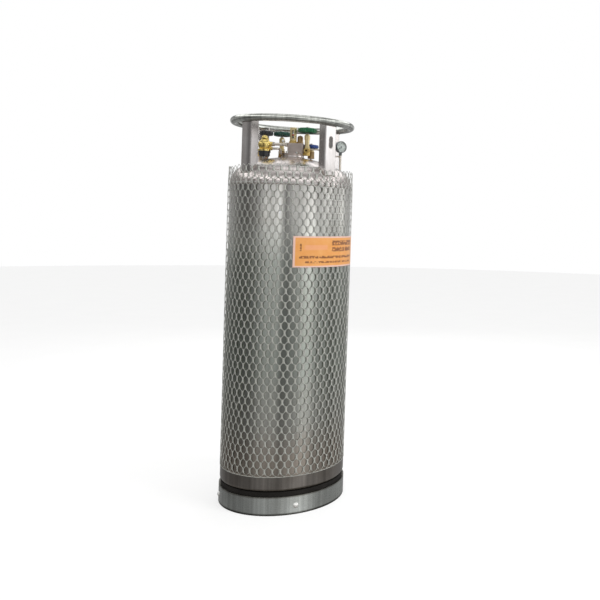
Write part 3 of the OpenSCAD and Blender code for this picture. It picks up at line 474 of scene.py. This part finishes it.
def bead(points, normals, radius, closed, ripple, pitch, sides=8):
    """Tube along points, its radius rippled like laid weld metal. Returns vertices and faces."""
    verts, faces = [], []
    n = len(points)
    run = 0.0
    for i, p in enumerate(points):
        a = points[(i - 1) % n] if closed or i else points[i]
        b = points[(i + 1) % n] if closed or i < n - 1 else points[i]
        along = (b - a).normalized()
        out = (normals[i] - along * normals[i].dot(along)).normalized()
        side = along.cross(out)
        if i:
            run += (p - points[i - 1]).length
        r = radius * (1 + ripple * math.sin(TAU * run / pitch)
                      + ripple * noise.noise(p * RIPPLE_SCALE))
        for k in range(sides):
            w = TAU * k / sides
            verts.append(p + (out * math.cos(w) + side * math.sin(w)) * r)
    spans = n if closed else n - 1
    for i in range(spans):
        for k in range(sides):
            i2, k2 = (i + 1) % n, (k + 1) % sides
            faces.append((i * sides + k, i2 * sides + k, i2 * sides + k2, i * sides + k2))
    if not closed:
        faces.append(tuple(reversed(range(sides))))
        faces.append(tuple((n - 1) * sides + k for k in range(sides)))
    return verts, faces


def join_parts(parts):
    """One list of vertices and one of faces from several."""
    verts, faces = [], []
    for v, f in parts:
        base = len(verts)
        verts += v
        faces += [tuple(i + base for i in face) for face in f]
    return verts, faces


def ring_bead(r, z, radius, count, ripple=0.12, pitch=0.007):
    """Level bead round the axis."""
    pts = [Vector((r * math.sin(TAU * i / count), -r * math.cos(TAU * i / count), z))
           for i in range(count)]
    nrm = [Vector((p.x, p.y, 0)).normalized() for p in pts]
    return bead(pts, nrm, radius, True, ripple, pitch)


# ---------------------------------------------------------------- sizes read from the frame

sleeve_lo, sleeve_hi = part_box("net_sleeve")
_, barrel_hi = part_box("outer_barrel")
_, band_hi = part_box("base_band")
ring_lo, ring_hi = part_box("guard_ring")
barrel_r = barrel_hi.x
seam_z = barrel_hi.z
sleeve_top_r = sleeve_hi.x
SLEEVE_FLARE = 0.0035
sleeve_bottom_r = sleeve_top_r - SLEEVE_FLARE

# ---------------------------------------------------------------- net sleeve

NET_COLUMNS = 52
NET_ROWS = 45
NET_THICK = 0.0017
# Share of a row that the slanted strands take, and the size of a hole in half cells
ZIGZAG = 0.5
HOLE_X, HOLE_Z = 0.74, 0.615
HOLE_POINTS = 12
# Share of the height where the rim starts to hang loose, its sag and its waves
RIM_START, LEAN_START = 0.86, 0.9
RIM_SAG, RIM_WAVE, RIM_LEAN = 0.016, 0.015, 0.004
# How far the strands wander sideways, in radians, and in height
WANDER_AZ, WANDER_Z = 0.0040, 0.0012
NET_MARGIN = 0.0006
# Rows per unit of noise, and how far the net's middle lies inside the sleeve, in thicknesses
NET_NOISE_ROWS, NET_INSET = 0.42, 0.55


def net_height(az, t):
    """Height of a point of the net: even rows, with a loose wavy rim at the top."""
    span = sleeve_hi.z - sleeve_lo.z - 2 * NET_THICK
    loose = max(0.0, (t - RIM_START) / (1 - RIM_START))
    wave = (0.45 * math.sin(2 * az + 2.4) + 0.35 * math.sin(3 * az + 0.9)
            + 0.2 * math.sin(7 * az + 0.4))
    return sleeve_lo.z + NET_THICK + span * t - loose * loose * (RIM_SAG - RIM_WAVE * wave)


def net_point(col, level, lift):
    """Point of the net at a column in half cells and a height in rows, lifted off its middle."""
    t = min(1.0, max(0.0, level / (NET_ROWS + ZIGZAG)))
    az = TAU * col / (2 * NET_COLUMNS)
    spot = Vector((math.cos(az) * 9, math.sin(az) * 9, level * NET_NOISE_ROWS))
    az += WANDER_AZ * noise.noise(spot)
    z = net_height(az, t) + WANDER_Z * noise.noise(spot + Vector((3, 5, 9)))
    z = min(max(z, sleeve_lo.z + NET_MARGIN), sleeve_hi.z - NET_MARGIN)
    r = sleeve_bottom_r + SLEEVE_FLARE * t - NET_THICK * NET_INSET
    loose = max(0.0, (t - LEAN_START) / (1 - LEAN_START))
    r += lift - RIM_LEAN * loose * (0.5 + 0.5 * math.sin(5 * az + 1.0))
    return (r * math.sin(az), -r * math.cos(az), z)


def build_net():
    """Extruded netting: thin slanted strands that run side by side into wide upright joints."""
    verts, faces, shared = [], [], {}

    def joint(col2, level2, side):
        """Point on the middle line of a strand, in quarter cells, on the outer or inner face."""
        key = (col2 % (4 * NET_COLUMNS), level2, side)
        if key not in shared:
            shared[key] = len(verts)
            row, part = divmod(level2, 4)
            rise = (0.0, ZIGZAG / 2, ZIGZAG, (1 + ZIGZAG) / 2)[part]
            verts.append(net_point(key[0] / 2, row + rise, side * NET_THICK / 2))
        return shared[key]

    # Corners and edge middles of a cell, from its lowest corner: quarter cells across and
    # steps up, where a row has four steps: low corner, middle of a slant, high corner, middle
    outline = [(0, 0), (1, 1), (2, 2), (2, 3), (2, 4), (1, 5), (0, 6), (-1, 5), (-2, 4), (-2, 3),
               (-2, 2), (-1, 1)]
    edges = {}
    for row in range(NET_ROWS):
        for col in range(NET_COLUMNS):
            middle = 4 * col + 2 * (row % 2)
            centre_row = row + (1 + ZIGZAG) / 2
            hole = []
            for k in range(HOLE_POINTS):
                w = TAU * k / HOLE_POINTS
                hole.append(len(verts))
                verts.append(net_point(middle / 2 + HOLE_X * math.sin(w),
                                       centre_row - HOLE_Z * math.cos(w), 0.0))
            for side in (1, -1):
                rim = [joint(middle + x, 4 * row + up, side) for x, up in outline]
                for k in range(HOLE_POINTS):
                    k2 = (k + 1) % HOLE_POINTS
                    quad = (rim[k], rim[k2], hole[k2], hole[k])
                    faces.append(quad if side > 0 else quad[::-1])
            outer, inner = ([joint(middle + x, 4 * row + up, side) for x, up in outline]
                            for side in (1, -1))
            for k in range(HOLE_POINTS):
                k2 = (k + 1) % HOLE_POINTS
                key = frozenset((outer[k], outer[k2]))
                edges.setdefault(key, []).append((outer[k], outer[k2], inner[k2], inner[k]))
    # Close the free edges at the top and the bottom
    for walls in edges.values():
        if len(walls) == 1:
            o1, o2, i2, i1 = walls[0]
            faces.append((o2, o1, i1, i2))
    o = add_piece("net_mesh", verts, faces, net_plastic)
    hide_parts("net_sleeve")


build_net()
HEM_R = 0.0012
v, f = ring_bead(sleeve_bottom_r - 0.0010, sleeve_lo.z + HEM_R, HEM_R, 4 * NET_COLUMNS, 0.05, 0.03)
add_piece("net_hem", v, f, net_plastic)

# ---------------------------------------------------------------- welds

# Radii of the top head's crown and knuckle, in radii of the barrel
CROWN, KNUCKLE = 1.8, 0.34
# Steps round a full bead, and the ripple and pitch of the hand-laid welds
ROUND_STEPS = 360
WELD_RIPPLE, WELD_PITCH = 0.18, 0.006


def head_height(r):
    """Rise of the top head above the seam at a distance from the axis."""
    big, small = CROWN * barrel_r, KNUCKLE * barrel_r
    centre = barrel_r - small
    drop = barrel_r * math.sqrt((CROWN - KNUCKLE) ** 2 - (1 - KNUCKLE) ** 2)
    if r < big * (1 - KNUCKLE) / (CROWN - KNUCKLE):
        return math.sqrt(big * big - r * r) - drop
    return math.sqrt(max(0.0, small * small - (r - centre) ** 2))


v, f = join_parts([ring_bead(barrel_r - 0.0004, seam_z, 0.0016, ROUND_STEPS),
                   ring_bead(barrel_r - 0.0006, band_hi.z + 0.0012, 0.0015, ROUND_STEPS)])
add_piece("shell_welds", v, f, weld_steel)

# Outer face, width, depth and bend of a guard post
POST_R, POST_W, POST_D, POST_BEND = 0.234, 0.058, 0.037, 0.005
POST_AZIMUTHS = [math.radians(45 + 90 * i) for i in range(4)]
FLAT_STEPS, BEND_STEPS = 14, 7
FOOT_WELD_R, RING_WELD_R = 0.0026, 0.0022


def post_foot(azimuth):
    """Weld round the foot of a post, on the surface of the head."""
    half = POST_W / 2
    flat = []
    steps = FLAT_STEPS
    for k in range(steps + 1):
        flat.append((POST_R - POST_D + (POST_D - POST_BEND) * k / steps, -half))
    for k in range(1, BEND_STEPS):
        w = -math.pi / 2 + math.pi / 2 * k / BEND_STEPS
        flat.append((POST_R - POST_BEND + POST_BEND * math.cos(w),
                     -half + POST_BEND + POST_BEND * math.sin(w)))
    for k in range(steps + 1):
        flat.append((POST_R, -half + POST_BEND + (POST_W - 2 * POST_BEND) * k / steps))
    for k in range(1, BEND_STEPS):
        w = math.pi / 2 * k / BEND_STEPS
        flat.append((POST_R - POST_BEND + POST_BEND * math.cos(w),
                     half - POST_BEND + POST_BEND * math.sin(w)))
    for k in range(steps + 1):
        flat.append((POST_R - POST_BEND - (POST_D - POST_BEND) * k / steps, half))
    turn = Matrix.Rotation(azimuth, 3, "Z")
    pts, nrm = [], []
    mid = Vector((POST_R - POST_D / 2, 0, 0))
    for x, y in flat:
        p = turn @ Vector((x, y, 0))
        r = min(p.length, barrel_r - 0.0005)
        p.z = seam_z + head_height(r)
        out = turn @ (Vector((x, y, 0)) - mid).normalized()
        pts.append(p)
        nrm.append(out + Vector((0, 0, 0.5)))
    return bead(pts, nrm, FOOT_WELD_R, False, WELD_RIPPLE, WELD_PITCH)


v, f = join_parts([post_foot(a) for a in POST_AZIMUTHS])
add_piece("post_welds", v, f, weld_steel)

# Beads between the posts and the guard ring's tube
tube_r = (ring_hi.z - ring_lo.z) / 2
ring_axis_r = ring_hi.x - tube_r
ring_z = ring_hi.z - tube_r


def ring_weld(azimuth):
    """Welds between a post's three walls and the underside of the ring."""
    parts = []
    turn = Matrix.Rotation(azimuth, 3, "Z")
    for s in (-1, 1):
        pts, nrm = [], []
        for k in range(FLAT_STEPS + 1):
            x = POST_R - POST_D + POST_D * k / FLAT_STEPS
            y = s * POST_W / 2
            r = math.hypot(x, y)
            reach = tube_r * tube_r - (r - ring_axis_r) ** 2
            if reach <= 0:
                continue
            pts.append(turn @ Vector((x, y, ring_z - math.sqrt(reach))))
            nrm.append(turn @ Vector((0, s, -0.6)))
        if len(pts) > 3:
            parts.append(bead(pts, nrm, RING_WELD_R, False, WELD_RIPPLE, WELD_PITCH))
    pts, nrm = [], []
    for k in range(FLAT_STEPS + 1):
        y = (-0.5 + k / FLAT_STEPS) * (POST_W - 2 * POST_BEND)
        reach = tube_r * tube_r - (math.hypot(POST_R, y) - ring_axis_r) ** 2
        pts.append(turn @ Vector((POST_R, y, ring_z - math.sqrt(reach))))
        nrm.append(turn @ Vector((1, 0, -0.6)))
    parts.append(bead(pts, nrm, RING_WELD_R, False, WELD_RIPPLE, WELD_PITCH))
    return join_parts(parts)


v, f = join_parts([ring_weld(a) for a in POST_AZIMUTHS])
add_piece("ring_welds", v, f, weld_steel)

# The seam's rolled lip, and the small step round the head
LIP_R, LIP_RISE = barrel_r - 0.0003, 0.0062
v, f = ring_bead(LIP_R, seam_z + LIP_RISE, 0.0020, ROUND_STEPS, 0.05, 0.02)
add_piece("seam_lip", v, f, steel_clean)

STEP_R = 0.2
v, f = ring_bead(STEP_R, seam_z + head_height(STEP_R), 0.0024, 300, 0.05, 0.012)
add_piece("head_step", v, f, steel_clean)

_, collar_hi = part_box("neck_collar")
collar_r = collar_hi.x
v, f = ring_bead(collar_r, seam_z + head_height(collar_r) + 0.0004, 0.0028, 120, 0.16, 0.006)
add_piece("collar_weld", v, f, weld_steel)

# ---------------------------------------------------------------- gauge scale

dial_lo, dial_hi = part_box("gauge_dial")
GAUGE_AZ = math.radians(38)
gauge_out = Vector((math.sin(GAUGE_AZ), -math.cos(GAUGE_AZ), 0))
gauge_side = Vector((math.cos(GAUGE_AZ), math.sin(GAUGE_AZ), 0))
# The dial's front face is half its thickness in front of its middle
DIAL_HALF = 0.00075
MARK_THICK = 0.00015
dial_centre = (dial_lo + dial_hi) / 2 + gauge_out * DIAL_HALF


def dial_point(x, y, lift):
    return dial_centre + gauge_side * x + Vector((0, 0, y)) + gauge_out * lift


def dial_mark(angle, r0, r1, width):
    """Flat printed mark on the dial, with a little thickness."""
    d = Vector((math.cos(angle), math.sin(angle)))
    s = Vector((-d.y, d.x)) * width / 2
    verts = []
    for lift in (0.0, MARK_THICK):
        for r, sign in ((r0, -1), (r0, 1), (r1, 1), (r1, -1)):
            q = d * r + s * sign
            verts.append(dial_point(q.x, q.y, lift))
    faces = [(0, 1, 2, 3), (7, 6, 5, 4), (0, 4, 5, 1), (1, 5, 6, 2), (2, 6, 7, 3), (3, 7, 4, 0)]
    return verts, faces


DIVISIONS = 40
marks = []
for i in range(DIVISIONS + 1):
    angle = math.radians(225 - 270 * i / DIVISIONS)
    long = i % 5 == 0
    marks.append(dial_mark(angle, 0.0150 if long else 0.0172, 0.0192, 0.0009 if long else 0.0004))
v, f = join_parts(marks)
add_piece("dial_scale", v, f, dial_ink, smooth=False)

# ---------------------------------------------------------------- floor, light and camera

# The camera, the lights and the world turn together by this much from the dewar's front
VIEW_TURN = math.radians(5.75)
AIM_Z = 0.9
FLOOR_GLOW = 0.62


def studio_world():
    """Room of soft strips that the metal reflects. The camera itself sees plain white."""
    world = bpy.data.worlds.new("studio")
    scene.world = world
    world.use_nodes = True
    t = Tree(world.node_tree)
    co = t.add("TexCoord").outputs["Generated"]
    sep = t.add("SeparateXYZ", i_Vector=co)
    x, y, z = sep.outputs
    az = t.math("SUBTRACT", t.math("ARCTAN2", x, t.math("MULTIPLY", y, -1.0)), VIEW_TURN)
    turn = t.math("FRACT", t.math("ADD", t.math("DIVIDE", az, TAU), 0.5))

    def strips(levels):
        """Brightness by azimuth, in degrees from the camera's side."""
        return t.ramp(turn, [((a + 180) / 360, b) for a, b in levels])

    def rise(low, high):
        """0 below the sine of one elevation and 1 above another."""
        n = t.add("MapRange", interpolation_type="SMOOTHSTEP")
        t.put(n, "Value", z)
        t.put(n, "From Min", low)
        t.put(n, "From Max", high)
        return n.outputs[0]

    # Around the horizon, then above and below it
    horizon = strips([(-180, 0.28), (-150, 0.22), (-121, 0.16), (-101, 0.10), (-86, 0.08),
                      (-72, 0.12), (-60, 0.17), (-49, 0.35), (-36, 0.36), (-26, 0.41), (-16, 0.36),
                      (-10, 0.14), (3, 0.14), (13, 0.28), (24, 0.44), (31, 0.85), (42, 0.85),
                      (50, 0.42), (68, 0.38), (79, 0.26), (91, 0.22), (103, 0.42), (118, 0.40),
                      (135, 0.28), (180, 0.28)])
    above = strips([(-180, 0.40), (-130, 0.32), (-100, 0.36), (-60, 0.38), (-20, 0.40), (0, 0.55),
                    (22, 0.90), (48, 0.55), (62, 0.80), (72, 2.4), (94, 2.4), (106, 0.8),
                    (130, 0.5), (180, 0.40)])
    below = strips([(-180, 0.30), (-100, 0.22), (-55, 0.24), (-35, 0.32), (-22, 0.24),
                    (-5, 0.36), (10, 0.55), (24, 0.62), (40, 0.36), (60, 0.30), (76, 0.36),
                    (92, 0.30), (120, 0.36), (180, 0.30)])
    canopy = t.ramp(z, [(0.20, 0.26), (0.33, 0.16), (0.42, 1.45), (0.62, 1.5), (0.72, 0.30),
                        (0.86, 0.45), (1.0, 1.1)])
    bright = t.mix(1.0, horizon, (2.1, 2.1, 2.1), "MULTIPLY")
    sky = t.mix(rise(-0.10, -0.02), horizon, bright)
    sky = t.mix(rise(0.03, 0.09), sky, above)
    sky = t.mix(rise(0.20, 0.34), sky, canopy)
    sky = t.mix(rise(-0.33, -0.27), below, sky)
    sky = t.mix(rise(-0.75, -0.50), (0.16, 0.15, 0.14), sky)
    studio = t.add("Background", i_Strength=1.0)
    t.put(studio, "Color", sky)
    white = t.add("Background", i_Color=(1, 1, 1), i_Strength=1.0)
    ray = t.add("LightPath")
    mix = t.add("MixShader")
    t.put(mix, "0", ray.outputs["Is Camera Ray"])
    t.put(mix, "1", studio.outputs[0])
    t.put(mix, "2", white.outputs[0])
    out = t.add("OutputWorld")
    t.put(out, "Surface", mix.outputs[0])


def studio_floor():
    """Pale floor that glows a little for the camera and is duller for the light it throws."""
    mesh = bpy.data.meshes.new("floor")
    bm = bmesh.new()
    bmesh.ops.create_circle(bm, cap_ends=True, radius=14, segments=96)
    bm.to_mesh(mesh)
    bm.free()
    floor = bpy.data.objects.new("floor", mesh)
    scene.collection.objects.link(floor)
    m, t = new_material("floor")
    ray = t.add("LightPath")
    co = t.add("TexCoord").outputs["Object"]
    tone = t.ramp(t.noise(co, 3.0), [(0.3, (0.93, 0.93, 0.925)), (0.7, (0.96, 0.96, 0.955))])
    plain = t.add("BsdfDiffuse")
    t.put(plain, "Color", tone)
    glow = t.add("Emission", i_Color=(1, 1, 1), i_Strength=1.0)
    own = t.add("MixShader")
    t.put(own, "0", FLOOR_GLOW)
    t.put(own, "1", plain.outputs[0])
    t.put(own, "2", glow.outputs[0])
    dull = t.add("BsdfDiffuse", i_Color=(0.45, 0.42, 0.39))
    mix = t.add("MixShader")
    t.put(mix, "0", ray.outputs["Is Camera Ray"])
    t.put(mix, "1", dull.outputs[0])
    t.put(mix, "2", own.outputs[0])
    out = t.add("OutputMaterial")
    t.put(out, "Surface", mix.outputs[0])
    mesh.materials.append(m)
    # The shell's reflections come from the studio alone
    floor.visible_glossy = False


def area_light(name, azimuth, distance, height, size, power):
    """Soft light that the metal doesn't mirror."""
    data = bpy.data.lights.new(name, "AREA")
    data.shape = "RECTANGLE"
    data.size, data.size_y = size
    data.energy = power
    o = bpy.data.objects.new(name, data)
    scene.collection.objects.link(o)
    a = math.radians(azimuth) + VIEW_TURN
    o.location = (distance * math.sin(a), -distance * math.cos(a), height)
    o.rotation_euler = (Vector((0, 0, AIM_Z)) - o.location).to_track_quat("-Z", "Y").to_euler()
    o.visible_glossy = False


studio_world()
studio_floor()
area_light("key", 48, 3.6, 2.9, (1.6, 1.6), 70)
area_light("fill", -38, 4.2, 2.4, (2.4, 2.4), 18)
area_light("top", 10, 0.4, 4.4, (2.6, 2.6), 35)
area_light("back", 170, 3.6, 2.6, (2.4, 1.6), 40)

scene.view_settings.view_transform = "Standard"
scene.view_settings.look = "None"

CAMERA_DISTANCE = 3.35
CAMERA_HEIGHT = 1.20
CAMERA_LENS = 45
SHIFTS = (("shift_x", -0.370), ("shift_y", -0.137))
YAW, PITCH, ROLL = (math.radians(a) for a in (17.13, 0.08, 1.79))


def photo_camera():
    """Camera at the viewing angle, with a shift that only holds while it stands there."""
    data = bpy.data.cameras.new("camera")
    data.sensor_width = 36
    data.lens = CAMERA_LENS
    cam = bpy.data.objects.new("camera", data)
    scene.collection.objects.link(cam)
    forward = Vector((math.sin(YAW) * math.cos(PITCH), math.cos(YAW) * math.cos(PITCH),
                      math.sin(PITCH)))
    right = Vector((math.cos(YAW), -math.sin(YAW), 0))
    up = right.cross(forward)
    x = right * math.cos(ROLL) + up * math.sin(ROLL)
    y = up * math.cos(ROLL) - right * math.sin(ROLL)
    axes = Matrix((x, y, -forward)).transposed().to_4x4()
    turn = Matrix.Rotation(VIEW_TURN, 4, "Z")
    place = Matrix.Translation((0, -CAMERA_DISTANCE, CAMERA_HEIGHT))
    cam.matrix_world = turn @ place @ axes
    scene.camera = cam
    home = bpy.data.objects.new("camera_home", None)
    home.location = cam.matrix_world.translation
    scene.collection.objects.link(home)
    for prop, value in SHIFTS:
        setattr(data, prop, value)
        driver = data.driver_add(prop).driver
        driver.type = "SCRIPTED"
        var = driver.variables.new()
        var.name = "d"
        var.type = "LOC_DIFF"
        var.targets[0].id = cam
        var.targets[1].id = home
        driver.expression = f"{value} if d < 0.01 else 0.0"


photo_camera()

bpy.context.view_layer.update()
